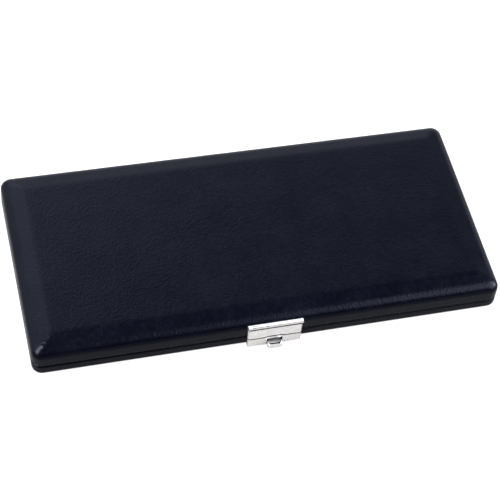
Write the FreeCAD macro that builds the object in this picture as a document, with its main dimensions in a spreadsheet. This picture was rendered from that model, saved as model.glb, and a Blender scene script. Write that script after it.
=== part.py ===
import FreeCAD, Part
import os
import re
import math
import Sketcher
from FreeCAD import Placement, Rotation, Vector

# A slim leather-covered case for poker chips. The lid and the base are shallow wooden trays
# covered in leather and joined at the back by two box hinges. A metal clasp holds the front.
# Origin: centre of the bottom face. +X runs along the case, -Y faces the clasp, +Z is up.

doc = FreeCAD.newDocument("poker_chip_case")

# ---------------------------------------------------------------- driving dimensions, in mm

DIMENSIONS = {
    # the closed case
    "case_length": 320,
    "case_depth": 152,
    "case_height": 25,
    "corner_radius": 7,
    "base_top": 8.7,
    "lid_bottom": 9.0,
    "rim_height": 19.9,
    "bevel_run": 11,
    "crown_radius": 2.5,
    "bottom_rounding": 3.2,
    # layers, from the outside in
    "leather": 0.9,
    "glue": 0.05,
    "rail_width": 3.2,
    "base_panel_top": 3.55,
    "panel_chamfer": 1.2,
    "cover_inset": 8.1,
    "cover_corner": 1.1,
    "lid_rail_top": 18.55,
    "lid_panel_top": 23,
    "lid_recess_inset": 7,
    "lid_recess_top": 20.8,
    "lid_recess_corner": 2,
    "lining_gap": 0.1,
    "cushion_gap": 0.3,
    "padding_thickness": 1,
    "lining_thickness": 0.4,
    "cushion_thickness": 1.8,
    # the chip tray
    "tray_inset": 6.1,
    "tray_top": 18.3,
    "tray_floor_thickness": 1,
    "tray_wall": 2,
    "cell_columns": 7,
    "cell_rows": 3,
    "lap_gap": 0.05,
    "finger_notch_radius": 9,
    # hinges
    "hinge_offset": 95,
    "hinge_length": 30,
    "hinge_notch_gap": 0.15,
    "hinge_axis_out": 1.7,
    "hinge_axis_up": 8.85,
    "knuckle_radius": 1.55,
    "knuckle_gap": 0.1,
    "hinge_pin_radius": 0.6,
    "hinge_pin_head": 1,
    "hinge_pin_head_thickness": 0.5,
    "hinge_pin_head_gap": 0.1,
    "running_gap": 0.05,
    "leaf_thickness": 0.85,
    "leaf_depth": 4.1,
    "stop_radius": 2.9,
    "stop_width": 20,
    "stop_play": 0.4,
    "lid_opening": 100,
    "hinge_screw_spacing": 9,
    "hinge_screw_inset": 2.55,
    "hinge_screw_radius": 0.6,
    "hinge_screw_head": 1.1,
    "hinge_screw_length": 4.2,
    "hinge_screw_head_depth": 0.5,
    "hinge_screw_point": 0.1,
    "hinge_screw_tip": 0.4,
    "hinge_screw_slot": 0.3,
    "hinge_screw_slot_depth": 0.2,
    # clasp
    "clasp_half": 18.7,
    "clasp_taper": 0.022,
    "clasp_bevel": 0.9,
    "clasp_wall": 0.8,
    "clasp_back": 0.6,
    "lid_plate_front": 3.0,
    "lid_plate_bottom": 9.2,
    "lid_plate_top": 19.9,
    "crease_height": 18.5,
    "crease_width": 0.95,
    "crease_depth": 1.8,
    "bead_radius": 1.6,
    "bead_bore": 0.75,
    "bead_out": 1.9,
    "bead_up": 20.95,
    "base_plate_front": 3.2,
    "base_plate_bottom": 0.4,
    "base_plate_top": 8.5,
    "hump_half": 5,
    "hump_ramp": 1.8,
    "hump_height": 0.9,
    "hump_gap": 0.4,
    "window_half": 5.4,
    "window_bottom": 2.6,
    "window_top": 7.6,
    "mortise_half": 7.5,
    "mortise_depth": 3.2,
    "mortise_bottom": 2.8,
    "lever_half": 5.7,
    "lever_arm_half": 4.9,
    "lever_axis_out": 0.3,
    "lever_axis_up": 4.4,
    "lever_barrel_radius": 1.4,
    "lever_pin_radius": 0.75,
    "ear_gap": 0.3,
    "ear_width": 1.2,
    "ear_bottom": 3.2,
    "ear_top": 5.6,
    "lever_arm_top": 4.2,
    "lever_arm_thickness": 0.8,
    "lever_tab_bottom": 0.5,
    "lever_tab_thickness": 2.3,
    "lever_reach": 6.7,
    "lever_tip_radius": 1.2,
    "lever_edge_radius": 0.35,
    "lever_slot_half": 3.6,
    "lever_slot_width": 1.1,
    "lever_slot_lip": 0.5,
    "lever_slot_floor": 1.4,
    "hook_half": 2.0,
    "hook_neck": 0.6,
    "hook_back": -0.5,
    "hook_nose": 2.0,
    "hook_nose_rise": 0.3,
    "hook_top": 8.0,
    "tongue_half": 3.4,
    "tongue_bottom": 5.9,
    "tongue_thickness": 0.8,
    "tongue_wing": 5,
    "keeper_window_sill": 0.6,
    "keeper_window_height": 1.4,
    "keeper_window_gap": 0.3,
    "spring_foot": 3.8,
    "spring_bend": 4.9,
    "spring_back": 3.1,
    "spring_front": 2.85,
    "spring_touch_out": 0.62,
    "spring_touch_up": 7.2,
    "spring_tip_out": 0.9,
    "spring_tip_up": 7.3,
    "spring_inner_bend": 5.05,
    "spring_side_gap": 0.4,
    "clasp_rivet_offset": 13,
    "clasp_rivet_radius": 0.8,
    "clasp_rivet_end": 1.3,
    "clasp_rivet_head": 1.6,
    "clasp_rivet_head_thickness": 0.4,
    "lid_rivet_up": 14,
    "base_rivet_up": 5.2,
}

sheet = doc.addObject("Spreadsheet::Sheet", "dims")
for row, (alias, number) in enumerate(DIMENSIONS.items(), start=1):
    sheet.set(f"A{row}", alias)
    sheet.set(f"B{row}", str(number))
    sheet.setAlias(f"B{row}", alias)
doc.recompute()


def linked(expression):
    """The expression with every dimension's name written as a reference to its cell."""
    return re.sub(
        r"[a-z][a-z_]+",
        lambda word: "dims." + word.group() if word.group() in DIMENSIONS else word.group(),
        str(expression),
    )


def bind(thing, size, expression):
    thing.setExpression(size, linked(expression))


ruler = doc.addObject("App::FeaturePython", "ruler")
ruler.addProperty("App::PropertyFloat", "Reading")


def value(expression):
    """The number, in mm or degrees, that an expression stands for now."""
    bind(ruler, "Reading", expression)
    ruler.recompute()
    return ruler.Reading


# ---------------------------------------------------------------- places used by many pieces

FRONT = "-case_depth / 2"
BACK = "case_depth / 2"
CORE = "leather + glue"
INNER = f"{CORE} + rail_width + glue"
OPENING = f"{INNER} + leather"
BEVEL_SLOPE = "(case_height - rim_height) / bevel_run"
BEVEL_DROP = f"leather * sqrt(1 + ({BEVEL_SLOPE})^2)"


def under_bevel(inset, gap="0"):
    """Height of the lid leather's inner surface at that inset, less a gap."""
    return f"rim_height + ({BEVEL_SLOPE}) * ({inset}) - {BEVEL_DROP} - 1.1 * ({gap})"


def inset_at(height, gap="0"):
    """The inset at which the lid leather's inner surface, less a gap, has that height."""
    return f"(({height}) - rim_height + {BEVEL_DROP} + 1.1 * ({gap})) / ({BEVEL_SLOPE})"


def wall_corner(inset):
    """Corner radius of an upright wall that stands in from the case's outline by the inset."""
    return f"(corner_radius - ({inset}))"


def corner_at(height):
    """Corner radius of the bevel's inner surface at that height: it narrows evenly to the crown."""
    foot = under_bevel("leather")
    rise = f"(({height}) - ({foot})) / (case_height - leather - ({foot}))"
    start = wall_corner("leather")
    return f"{start} + (crown_radius - {start}) * {rise}"


def out(distance):
    """Y of a place that stands that far in front of the case's front face."""
    return f"-case_depth / 2 - ({distance})"


# ---------------------------------------------------------------- sketches and solid features


def new_body(label):
    body = doc.addObject("PartDesign::Body", label)
    body.Label = label
    return body


def sketch_on(body, name, role, offset="0"):
    """An empty sketch on one of the body's own origin planes, moved along its normal."""
    plane = next(feature for feature in body.Origin.OriginFeatures if feature.Role == role)
    sketch = body.newObject("Sketcher::SketchObject", name)
    sketch.AttachmentSupport = (plane, [""])
    sketch.MapMode = "FlatFace"
    bind(sketch, "AttachmentOffset.Base.z", offset)
    return sketch


def name_constraint(sketch, index, name, expression):
    sketch.renameConstraint(index, name)
    bind(sketch, "Constraints." + name, expression)


def rounded_rectangle(sketch, prefix, length, depth, radius):
    """Four sides and four corner arcs, centred on the sketch's origin."""
    half_length = value(length) / 2
    half_depth = value(depth) / 2
    corner = value(radius)
    normal = Vector(0, 0, 1)
    signs = [(1, 1), (-1, 1), (-1, -1), (1, -1)]
    centres = [Vector(sx * (half_length - corner), sy * (half_depth - corner)) for sx, sy in signs]
    first = sketch.GeometryCount
    for quarter, centre in enumerate(centres):
        start = quarter * math.pi / 2
        circle = Part.Circle(centre, normal, corner)
        sketch.addGeometry(Part.ArcOfCircle(circle, start, start + math.pi / 2))
    for quarter, centre in enumerate(centres):
        following = centres[(quarter + 1) % 4]
        angle = (quarter + 1) * math.pi / 2
        reach = Vector(math.cos(angle), math.sin(angle)) * corner
        sketch.addGeometry(Part.LineSegment(centre + reach, following + reach))
    for quarter in range(4):
        arc = first + quarter
        line = first + 4 + quarter
        next_arc = first + (quarter + 1) % 4
        sketch.addConstraint(Sketcher.Constraint("Tangent", arc, 2, line, 1))
        sketch.addConstraint(Sketcher.Constraint("Tangent", line, 2, next_arc, 1))
        direction = "Horizontal" if quarter % 2 == 0 else "Vertical"
        sketch.addConstraint(Sketcher.Constraint(direction, line))
    for arc in range(first + 1, first + 4):
        sketch.addConstraint(Sketcher.Constraint("Equal", first, arc))
    sketch.addConstraint(Sketcher.Constraint("Symmetric", first, 3, first + 2, 3, -1, 1))
    top, left, bottom, right = range(first + 4, first + 8)
    across = Sketcher.Constraint("DistanceX", left, 1, right, 1, 2 * half_length)
    name_constraint(sketch, sketch.addConstraint(across), prefix + "_length", length)
    deep = Sketcher.Constraint("DistanceY", bottom, 1, top, 1, 2 * half_depth)
    name_constraint(sketch, sketch.addConstraint(deep), prefix + "_depth", depth)
    round_corner = Sketcher.Constraint("Radius", first, corner)
    name_constraint(sketch, sketch.addConstraint(round_corner), prefix + "_radius", radius)


def plan_outline(body, name, height, inset, radius, second=None):
    """A sketch of the case's outline, moved in by the inset, at that height."""
    sketch = sketch_on(body, name, "XY_Plane", height)
    outlines = [("outer", inset, radius)]
    if second:
        outlines.append(("inner", *second))
    for prefix, moved_in, corner in outlines:
        rounded_rectangle(
            sketch,
            prefix,
            f"case_length - 2 * ({moved_in})",
            f"case_depth - 2 * ({moved_in})",
            corner,
        )
    return sketch


def polygon(sketch, corners):
    """A closed outline of straight lines through corners given as pairs of expressions."""
    points = [Vector(value(across), value(up)) for across, up in corners]
    for index, point in enumerate(points):
        sketch.addGeometry(Part.LineSegment(point, points[(index + 1) % len(points)]))
    for index, (across, up) in enumerate(corners):
        joined = (index + 1) % len(points)
        sketch.addConstraint(Sketcher.Constraint("Coincident", index, 2, joined, 1))
        for kind, place, number in (
            ("DistanceX", across, points[index].x),
            ("DistanceY", up, points[index].y),
        ):
            held = Sketcher.Constraint(kind, -1, 1, index, 1, number)
            name_constraint(sketch, sketch.addConstraint(held), f"{kind[-1]}_{index}", place)


def extrude(body, kind, name, sketch, length, backwards=False):
    feature = body.newObject("PartDesign::" + kind, name)
    feature.Profile = (sketch, [""])
    bind(feature, "Length", length)
    feature.Reversed = backwards
    doc.recompute()
    return feature


def pad(body, name, sketch, length):
    return extrude(body, "Pad", name, sketch, length)


def pocket(body, name, sketch, length):
    """Cuts from the sketch in the direction of its normal, and checks that it removed something."""
    before = body.Shape.Volume
    feature = extrude(body, "Pocket", name, sketch, length, backwards=True)
    if body.Shape.Volume > before - 1e-3:
        raise RuntimeError(f"{body.Label}: {name} cut nothing")
    return feature


def loft(body, kind, name, lower, upper):
    feature = body.newObject("PartDesign::" + kind, name)
    feature.Profile = (lower, [""])
    feature.Sections = [upper]
    feature.Ruled = True
    doc.recompute()
    return feature


def dress(body, kind, name, base, chosen, size_name, size):
    """A fillet or chamfer on the edges of the base feature that the test chooses."""
    edges = [f"Edge{i}" for i, edge in enumerate(base.Shape.Edges, start=1) if chosen(edge.BoundBox)]
    if not edges:
        raise RuntimeError(f"{body.Label}: {name} found no edge")
    feature = body.newObject("PartDesign::" + kind, name)
    feature.Base = (base, edges)
    bind(feature, size_name, size)
    doc.recompute()
    return feature


def near(number, expression):
    return abs(number - value(expression)) < 1e-4


# ---------------------------------------------------------------- primitives and booleans

ALONG_X = Rotation(Vector(0, 1, 0), Vector(0, 0, 1), Vector(1, 0, 0))
ALONG_Y = Rotation(Vector(0, 0, 1), Vector(1, 0, 0), Vector(0, 1, 0))


def block(name, across, deep, up):
    """A block between the low and high expressions given along X, Y and Z."""
    made = doc.addObject("Part::Box", name)
    for axis, size, (low, high) in zip("xyz", ("Length", "Width", "Height"), (across, deep, up)):
        bind(made, "Placement.Base." + axis, low)
        bind(made, size, f"({high}) - ({low})")
    return made


def rod(name, radius, start, length, turn=Rotation()):
    """A cylinder from the start point, along Z unless it is turned."""
    made = doc.addObject("Part::Cylinder", name)
    made.Placement = Placement(Vector(), turn)
    for axis, place in zip("xyz", start):
        bind(made, "Placement.Base." + axis, place)
    bind(made, "Radius", radius)
    bind(made, "Height", length)
    return made


def cone(name, lower_radius, upper_radius, start, length):
    made = doc.addObject("Part::Cone", name)
    for axis, place in zip("xyz", start):
        bind(made, "Placement.Base." + axis, place)
    bind(made, "Radius1", lower_radius)
    bind(made, "Radius2", upper_radius)
    bind(made, "Height", length)
    return made


def fuse(name, shapes):
    made = doc.addObject("Part::MultiFuse", name)
    made.Shapes = shapes
    made.Refine = True
    return made


def cut(name, base, tools):
    made = doc.addObject("Part::Cut", name)
    made.Base = base
    made.Tool = tools[0] if len(tools) == 1 else fuse(name + "_cutters", tools)
    made.Refine = True
    return made


def common(name, first, second):
    made = doc.addObject("Part::Common", name)
    made.Base = first
    made.Tool = second
    return made


def group(name, members):
    """Identical separate solids that share one node."""
    made = doc.addObject("Part::Compound", name)
    made.Links = members
    return made


nodes = {}


def keep(label, thing):
    """Names a finished sub-part after its node."""
    thing.Label = label
    nodes[label] = thing
    return thing


# ---------------------------------------------------------------- leather covers


def hinge_notches(prefix, low, high):
    """Where the two hinge leaves are let into the leather at the back edge."""
    reach = "(hinge_length / 2 + hinge_notch_gap)"
    deep = (f"{BACK} - ({INNER})", f"{BACK} + 1")
    notches = []
    for side, sign in (("left", -1), ("right", 1)):
        across = (f"{sign} * hinge_offset - {reach}", f"{sign} * hinge_offset + {reach}")
        notches.append(block(f"{prefix}_{side}_hinge_notch", across, deep, (low, high)))
    return notches


def rivet_holes(prefix, up):
    """Two holes for the clasp's rivets, through its back wall and the case's front wall."""
    return [
        rod(
            f"{prefix}_{side}_rivet_hole",
            "clasp_rivet_radius + running_gap",
            (f"{sign} * clasp_rivet_offset", out("clasp_back + 0.4"), up),
            "8",
            ALONG_Y,
        )
        for side, sign in (("left", -1), ("right", 1))
    ]


def base_leather_band():
    """The leather round the base: turned under the panel below and over the rails above."""
    body = new_body("base_leather_shell")
    outline = plan_outline(body, "band_outline", 0, 0, "corner_radius")
    walls = pad(body, "band_walls", outline, "base_top")
    rounded = dress(
        body,
        "Fillet",
        "band_bottom_edge",
        walls,
        lambda box: near(box.ZMax, 0),
        "Radius",
        "bottom_rounding",
    )
    body.Tip = rounded
    mouth = plan_outline(body, "band_mouth", "base_panel_top + glue", OPENING, wall_corner(OPENING))
    pocket(body, "band_opening", mouth, "base_top")
    under = plan_outline(body, "band_under", "0", "cover_inset - 0.1", "cover_corner + 0.1")
    pocket(body, "band_underside", under, "base_panel_top + glue")
    chamfered = "leather + panel_chamfer"
    round_wall = wall_corner("leather")
    low = plan_outline(body, "panel_room_low", "leather", chamfered, wall_corner(chamfered))
    high = plan_outline(body, "panel_room_high", chamfered, "leather", round_wall)
    loft(body, "SubtractiveLoft", "panel_room_chamfer", low, high)
    wide = plan_outline(body, "panel_room", chamfered, "leather", round_wall)
    pocket(body, "panel_room_wall", wide, "base_panel_top + glue - leather - panel_chamfer")
    foot = "base_panel_top + glue"
    inner = (INNER, wall_corner(INNER))
    ring = plan_outline(body, "rail_room", foot, "leather", round_wall, inner)
    pocket(body, "rail_room_ring", ring, "base_top - leather - base_panel_top - glue")
    mortise = block(
        "band_mortise",
        ("-mortise_half", "mortise_half"),
        (out(1), out("-leather - 0.5")),
        ("mortise_bottom", "base_top + 1"),
    )
    holes = rivet_holes("band", "base_rivet_up")
    notches = hinge_notches("band", "base_top - leather", "base_top + 1")
    keep("base_leather_band", cut("base_leather_band", body, [mortise, *holes, *notches]))


def lid_leather():
    """The lid's leather: upright rim, bevel with mitred corners, flat top and turned-in edge."""
    body = new_body("lid_leather_shell")
    outline = plan_outline(body, "rim_outline", "lid_bottom", 0, "corner_radius")
    pad(body, "rim_walls", outline, "rim_height - lid_bottom")
    rim = plan_outline(body, "bevel_foot", "rim_height", 0, "corner_radius")
    crown = plan_outline(body, "bevel_head", "case_height", "bevel_run", "crown_radius")
    loft(body, "AdditiveLoft", "bevel", rim, crown)
    mouth = plan_outline(body, "lid_mouth", "lid_bottom", OPENING, wall_corner(OPENING))
    pocket(body, "lid_opening_inside", mouth, "lid_rail_top - lid_bottom + 0.1")
    round_wall = wall_corner("leather")
    inner = (INNER, wall_corner(INNER))
    ring = plan_outline(body, "lid_rail_room", "lid_bottom + leather", "leather", round_wall, inner)
    pocket(body, "lid_rail_room_ring", ring, "lid_rail_top - lid_bottom - leather")
    wide = plan_outline(body, "lid_panel_room", "lid_rail_top", "leather", round_wall)
    pocket(body, "lid_panel_room_wall", wide, under_bevel("leather") + " - lid_rail_top")
    low = plan_outline(body, "lid_room_low", under_bevel("leather"), "leather", round_wall)
    top = "case_height - leather"
    high = plan_outline(body, "lid_room_high", top, inset_at(top), "crown_radius")
    loft(body, "SubtractiveLoft", "lid_room_bevel", low, high)
    holes = rivet_holes("lid_leather", "lid_rivet_up")
    notches = hinge_notches("lid_leather", "lid_bottom - 1", "lid_bottom + leather")
    keep("lid_leather", cut("lid_leather", body, [*holes, *notches]))


# ---------------------------------------------------------------- wooden panels and rails


def base_panel():
    body = new_body("base_panel")
    chamfered = f"{CORE} + panel_chamfer"
    low = plan_outline(body, "panel_low", CORE, chamfered, wall_corner(chamfered))
    high = plan_outline(body, "panel_high", chamfered, CORE, wall_corner(CORE))
    loft(body, "AdditiveLoft", "panel_chamfered_edge", low, high)
    outline = plan_outline(body, "panel_outline", chamfered, CORE, wall_corner(CORE))
    pad(body, "panel_board", outline, f"base_panel_top - ({chamfered})")
    keep("base_panel", body)


def lid_panel():
    """The board under the lid's bevel, hollowed from below for the lining and cushion."""
    body = new_body("lid_panel")
    foot = "lid_rail_top + glue"
    shoulder = under_bevel(CORE, "glue")
    outline = plan_outline(body, "lid_board_outline", foot, CORE, wall_corner(CORE))
    pad(body, "lid_board", outline, f"{shoulder} - ({foot})")
    low = plan_outline(body, "lid_board_low", shoulder, CORE, wall_corner(CORE))
    top = "lid_panel_top"
    high = plan_outline(body, "lid_board_high", top, inset_at(top, "glue"), corner_at(top))
    loft(body, "AdditiveLoft", "lid_board_bevel", low, high)
    recess = plan_outline(body, "lid_board_recess", foot, "lid_recess_inset", "lid_recess_corner")
    pocket(body, "lid_board_hollow", recess, f"lid_recess_top - ({foot})")
    keep("lid_panel", body)


def rail_ring(name, low, high):
    body = new_body(name)
    inside = f"{CORE} + rail_width"
    inner = (inside, wall_corner(inside))
    outline = plan_outline(body, name + "_outline", low, CORE, wall_corner(CORE), inner)
    pad(body, name + "_pad", outline, f"{high} - ({low})")
    return body


def rails(half, low, high, front_cutters, back_cutters):
    """Front and back rails run the full length; the side rails are butted between them."""
    ring = rail_ring(half + "_rail_ring", low, high)
    inside = f"({CORE} + rail_width)"
    seam = f"case_depth / 2 - {inside} - {wall_corner(inside)}"
    tall = (f"{low} - 1", f"{high} + 1")
    far = "case_length"
    places = {
        "front": ((f"-{far}", far), ("-case_depth", f"-({seam})"), tall),
        "back": ((f"-{far}", far), (seam, "case_depth"), tall),
        "left": ((f"-{far}", "0"), (f"-({seam}) + glue", f"{seam} - glue"), tall),
        "right": (("0", far), (f"-({seam}) + glue", f"{seam} - glue"), tall),
    }
    cutters = {"front": front_cutters, "back": back_cutters}
    for side, (across, deep, up) in places.items():
        label = f"{half}_{side}_rail"
        keeper = block(label + "_part", across, deep, up)
        if side in cutters:
            board = common(label + "_board", ring, keeper)
            keep(label, cut(label, board, cutters[side]))
        else:
            keep(label, common(label, ring, keeper))


def screw_places():
    """X of each hinge screw, with a name for it."""
    return [
        (f"{side}_{number}", f"{sign} * hinge_offset + {step} * hinge_screw_spacing")
        for side, sign in (("left", -1), ("right", 1))
        for number, step in (("one", -1), ("two", 1))
    ]


SCREW_Y = f"{BACK} - hinge_screw_inset"


def pilot_holes(half, start, length):
    return [
        rod(f"{half}_pilot_{name}", "hinge_screw_radius + 0.02", (across, SCREW_Y, start), length)
        for name, across in screw_places()
    ]


def wooden_rails():
    mortise = block(
        "rail_mortise",
        ("-mortise_half", "mortise_half"),
        (out(1), out("-mortise_depth")),
        ("base_panel_top", "base_top + 1"),
    )
    rails(
        "base",
        "base_panel_top + glue",
        "base_top - leather - glue",
        [mortise, *rivet_holes("base_rail", "base_rivet_up")],
        pilot_holes("base", "base_top - hinge_screw_length - 0.3", "hinge_screw_length"),
    )
    rails(
        "lid",
        "lid_bottom + leather + glue",
        "lid_rail_top",
        rivet_holes("lid_rail", "lid_rivet_up"),
        pilot_holes("lid", "lid_bottom", "hinge_screw_length + 0.3"),
    )


# ---------------------------------------------------------------- soft layers


def flat_sheet(label, low, thickness, inset, radius):
    body = new_body(label)
    outline = plan_outline(body, label + "_outline", low, inset, radius)
    pad(body, label + "_sheet", outline, thickness)
    keep(label, body)
    return body


def soft_layers():
    flat_sheet("base_bottom_cover", "0", "leather", "cover_inset", "cover_corner")
    lining_low = "lid_recess_top - glue - lining_thickness"
    inset = "lid_recess_inset + lining_gap"
    corner = "lid_recess_corner - lining_gap"
    flat_sheet("lid_lining", lining_low, "lining_thickness", inset, corner)
    cushion_low = f"{lining_low} - glue - cushion_thickness"
    inset = "lid_recess_inset + cushion_gap"
    corner = "lid_recess_corner - cushion_gap"
    flat_sheet("lid_cushion", cushion_low, "cushion_thickness", inset, corner)
    body = new_body("lid_padding")
    foot = "lid_panel_top + glue"
    head = "lid_panel_top + glue + padding_thickness"
    low = plan_outline(body, "padding_low", foot, inset_at(foot, "glue"), corner_at(foot))
    high = plan_outline(body, "padding_high", head, inset_at(head, "glue"), corner_at(head))
    loft(body, "AdditiveLoft", "padding_sheet", low, high)
    keep("lid_padding", body)


# ---------------------------------------------------------------- chip tray

TRAY_X = "(case_length / 2 - tray_inset)"
TRAY_Y = "(case_depth / 2 - tray_inset)"
TRAY_FOOT = "base_panel_top + glue"
TRAY_DECK = f"{TRAY_FOOT} + tray_floor_thickness"
CELL_X = f"((2 * {TRAY_X} - (cell_columns + 1) * tray_wall) / cell_columns)"
CELL_Y = f"((2 * {TRAY_Y} - (cell_rows + 1) * tray_wall) / cell_rows)"
LAP_HEIGHT = f"(({TRAY_DECK} + tray_top) / 2)"


def column_start(index):
    """X of the low side of a cell column."""
    return f"-{TRAY_X} + tray_wall + {index} * ({CELL_X} + tray_wall)"


def row_start(index):
    """Y of the low side of a cell row."""
    return f"-{TRAY_Y} + tray_wall + {index} * ({CELL_Y} + tray_wall)"


def chip_tray():
    """An open grid of square cells, each for a flat stack of chips."""
    upright = (f"{TRAY_DECK} + glue", "tray_top")
    columns = int(value("cell_columns"))
    rows = int(value("cell_rows"))
    whole_x = (f"-{TRAY_X}", TRAY_X)
    whole_y = (f"-{TRAY_Y}", TRAY_Y)
    keep("tray_floor", block("tray_floor", whole_x, whole_y, (TRAY_FOOT, TRAY_DECK)))
    front_y = (f"-{TRAY_Y}", f"-{TRAY_Y} + tray_wall")
    back_y = (f"{TRAY_Y} - tray_wall", TRAY_Y)
    keep("tray_front_wall", block("tray_front_wall", whole_x, front_y, upright))
    keep("tray_back_wall", block("tray_back_wall", whole_x, back_y, upright))
    between_y = (f"-{TRAY_Y} + tray_wall + glue", f"{TRAY_Y} - tray_wall - glue")
    ends = [
        block("tray_left_end", (f"-{TRAY_X}", f"-{TRAY_X} + tray_wall"), between_y, upright),
        block("tray_right_end", (f"{TRAY_X} - tray_wall", TRAY_X), between_y, upright),
    ]
    keep("tray_end_walls", group("tray_end_walls", ends))

    between_x = (f"-{TRAY_X} + tray_wall + glue", f"{TRAY_X} - tray_wall - glue")
    long_dividers = []
    for row in range(1, rows):
        low_y = f"{row_start(row)} - tray_wall"
        name = f"long_divider_{row}"
        board = block(name + "_board", between_x, (low_y, f"{low_y} + tray_wall"), upright)
        cutters = []
        for column in range(1, columns):
            low_x = f"{column_start(column)} - tray_wall"
            cutters.append(
                block(
                    f"{name}_lap_{column}",
                    (f"{low_x} - lap_gap", f"{low_x} + tray_wall + lap_gap"),
                    (f"{low_y} - 1", f"{low_y} + tray_wall + 1"),
                    (f"{TRAY_DECK} - 1", LAP_HEIGHT),
                )
            )
        for column in range(columns):
            middle = (f"{column_start(column)} + {CELL_X} / 2", f"{low_y} - 1", "tray_top")
            notch = f"{name}_notch_{column}"
            cutters.append(rod(notch, "finger_notch_radius", middle, "tray_wall + 2", ALONG_Y))
        long_dividers.append(cut(name, board, cutters))
    keep("tray_long_dividers", group("tray_long_dividers", long_dividers))

    cross_dividers = []
    for column in range(1, columns):
        low_x = f"{column_start(column)} - tray_wall"
        name = f"cross_divider_{column}"
        board = block(name + "_board", (low_x, f"{low_x} + tray_wall"), between_y, upright)
        laps = []
        for row in range(1, rows):
            low_y = f"{row_start(row)} - tray_wall"
            laps.append(
                block(
                    f"{name}_lap_{row}",
                    (f"{low_x} - 1", f"{low_x} + tray_wall + 1"),
                    (f"{low_y} - lap_gap", f"{low_y} + tray_wall + lap_gap"),
                    (f"{LAP_HEIGHT} - lap_gap", "tray_top + 1"),
                )
            )
        cross_dividers.append(cut(name, board, laps))
    keep("tray_cross_dividers", group("tray_cross_dividers", cross_dividers))


# ---------------------------------------------------------------- hinges

HINGE_Y = f"{BACK} + hinge_axis_out"
KNUCKLE_LENGTH = "((hinge_length - 4 * knuckle_gap) / 5)"


def stop_sector(name, start_angle, across, length, radius):
    """A slice of a cylinder about the hinge's axis, beginning at an angle above the rear."""
    made = doc.addObject("Part::Cylinder", name)
    turn = Rotation(Vector(1, 0, 0), value(start_angle)).multiply(ALONG_X)
    made.Placement = Placement(Vector(), turn)
    for axis, place in zip("xyz", (across, HINGE_Y, "hinge_axis_up")):
        bind(made, "Placement.Base." + axis, place)
    bind(made, "Radius", radius)
    bind(made, "Height", length)
    bind(made, "Angle", "stop_width")
    return made


def hinge_leaf(side, sign, half, knuckles, plate_up, stop_angle):
    """One leaf: a screwed plate, its share of the five knuckles, and a tail that stops the lid."""
    name = f"{side}_hinge_{half}"
    low_x = f"{sign} * hinge_offset - hinge_length / 2"
    plate_y = (f"{BACK} - leaf_depth", BACK)
    plate = block(name + "_plate", (low_x, f"{low_x} + hinge_length"), plate_y, plate_up)
    solids = [plate]
    ring = stop_sector(name + "_tail", stop_angle, low_x, "hinge_length", "stop_radius")
    hub = rod(
        name + "_tail_hub",
        "knuckle_radius + knuckle_gap",
        (f"{low_x} - 1", HINGE_Y, "hinge_axis_up"),
        "hinge_length + 2",
        ALONG_X,
    )
    solids.append(cut(name + "_tail_strip", ring, [hub]))
    for knuckle in knuckles:
        start = f"{low_x} + {knuckle} * ({KNUCKLE_LENGTH} + knuckle_gap)"
        place = (start, HINGE_Y, "hinge_axis_up")
        tag = f"{name}_{knuckle}"
        solids.append(rod(tag + "_knuckle", "knuckle_radius", place, KNUCKLE_LENGTH, ALONG_X))
        solids.append(
            stop_sector(tag + "_web", stop_angle, start, KNUCKLE_LENGTH, "stop_radius")
        )
        arm_y = (f"{BACK} - 0.1", f"{HINGE_Y} - hinge_pin_radius - running_gap")
        solids.append(block(tag + "_arm", (start, f"{start} + {KNUCKLE_LENGTH}"), arm_y, plate_up))
    bore = rod(
        name + "_bore",
        "hinge_pin_radius + running_gap",
        (f"{low_x} - 1", HINGE_Y, "hinge_axis_up"),
        "hinge_length + 2",
        ALONG_X,
    )
    holes = [bore]
    low, high = plate_up
    for screw, across in screw_places():
        if not screw.startswith(side):
            continue
        through = "hinge_screw_radius + running_gap"
        wide = "hinge_screw_head + running_gap"
        shank = (across, SCREW_Y, f"{low} - 1")
        holes.append(rod(f"{name}_{screw}_hole", through, shank, "leaf_thickness + 2"))
        sink_up = f"{high} - hinge_screw_head_depth" if half == "base_leaf" else low
        sink = (across, SCREW_Y, sink_up)
        radii = (through, wide) if half == "base_leaf" else (wide, through)
        holes.append(cone(f"{name}_{screw}_sink", *radii, sink, "hinge_screw_head_depth"))
    keep(name, cut(name, fuse(name + "_solid", solids), holes))


def hinge_pin(side, sign):
    name = f"{side}_hinge_pin"
    low_x = f"{sign} * hinge_offset - hinge_length / 2"
    centre = (HINGE_Y, "hinge_axis_up")
    overhang = "(hinge_pin_head_gap + hinge_pin_head_thickness / 2)"
    length = f"hinge_length + 2 * {overhang}"
    shaft = rod(name + "_shaft", "hinge_pin_radius", (f"{low_x} - {overhang}", *centre), length, ALONG_X)
    head_starts = {
        "left": f"{low_x} - hinge_pin_head_gap - hinge_pin_head_thickness",
        "right": f"{low_x} + hinge_length + hinge_pin_head_gap",
    }
    heads = [
        rod(f"{name}_{end}_head", "hinge_pin_head", (x, *centre), "hinge_pin_head_thickness", ALONG_X)
        for end, x in head_starts.items()
    ]
    keep(name, fuse(name, [shaft, *heads]))


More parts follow.
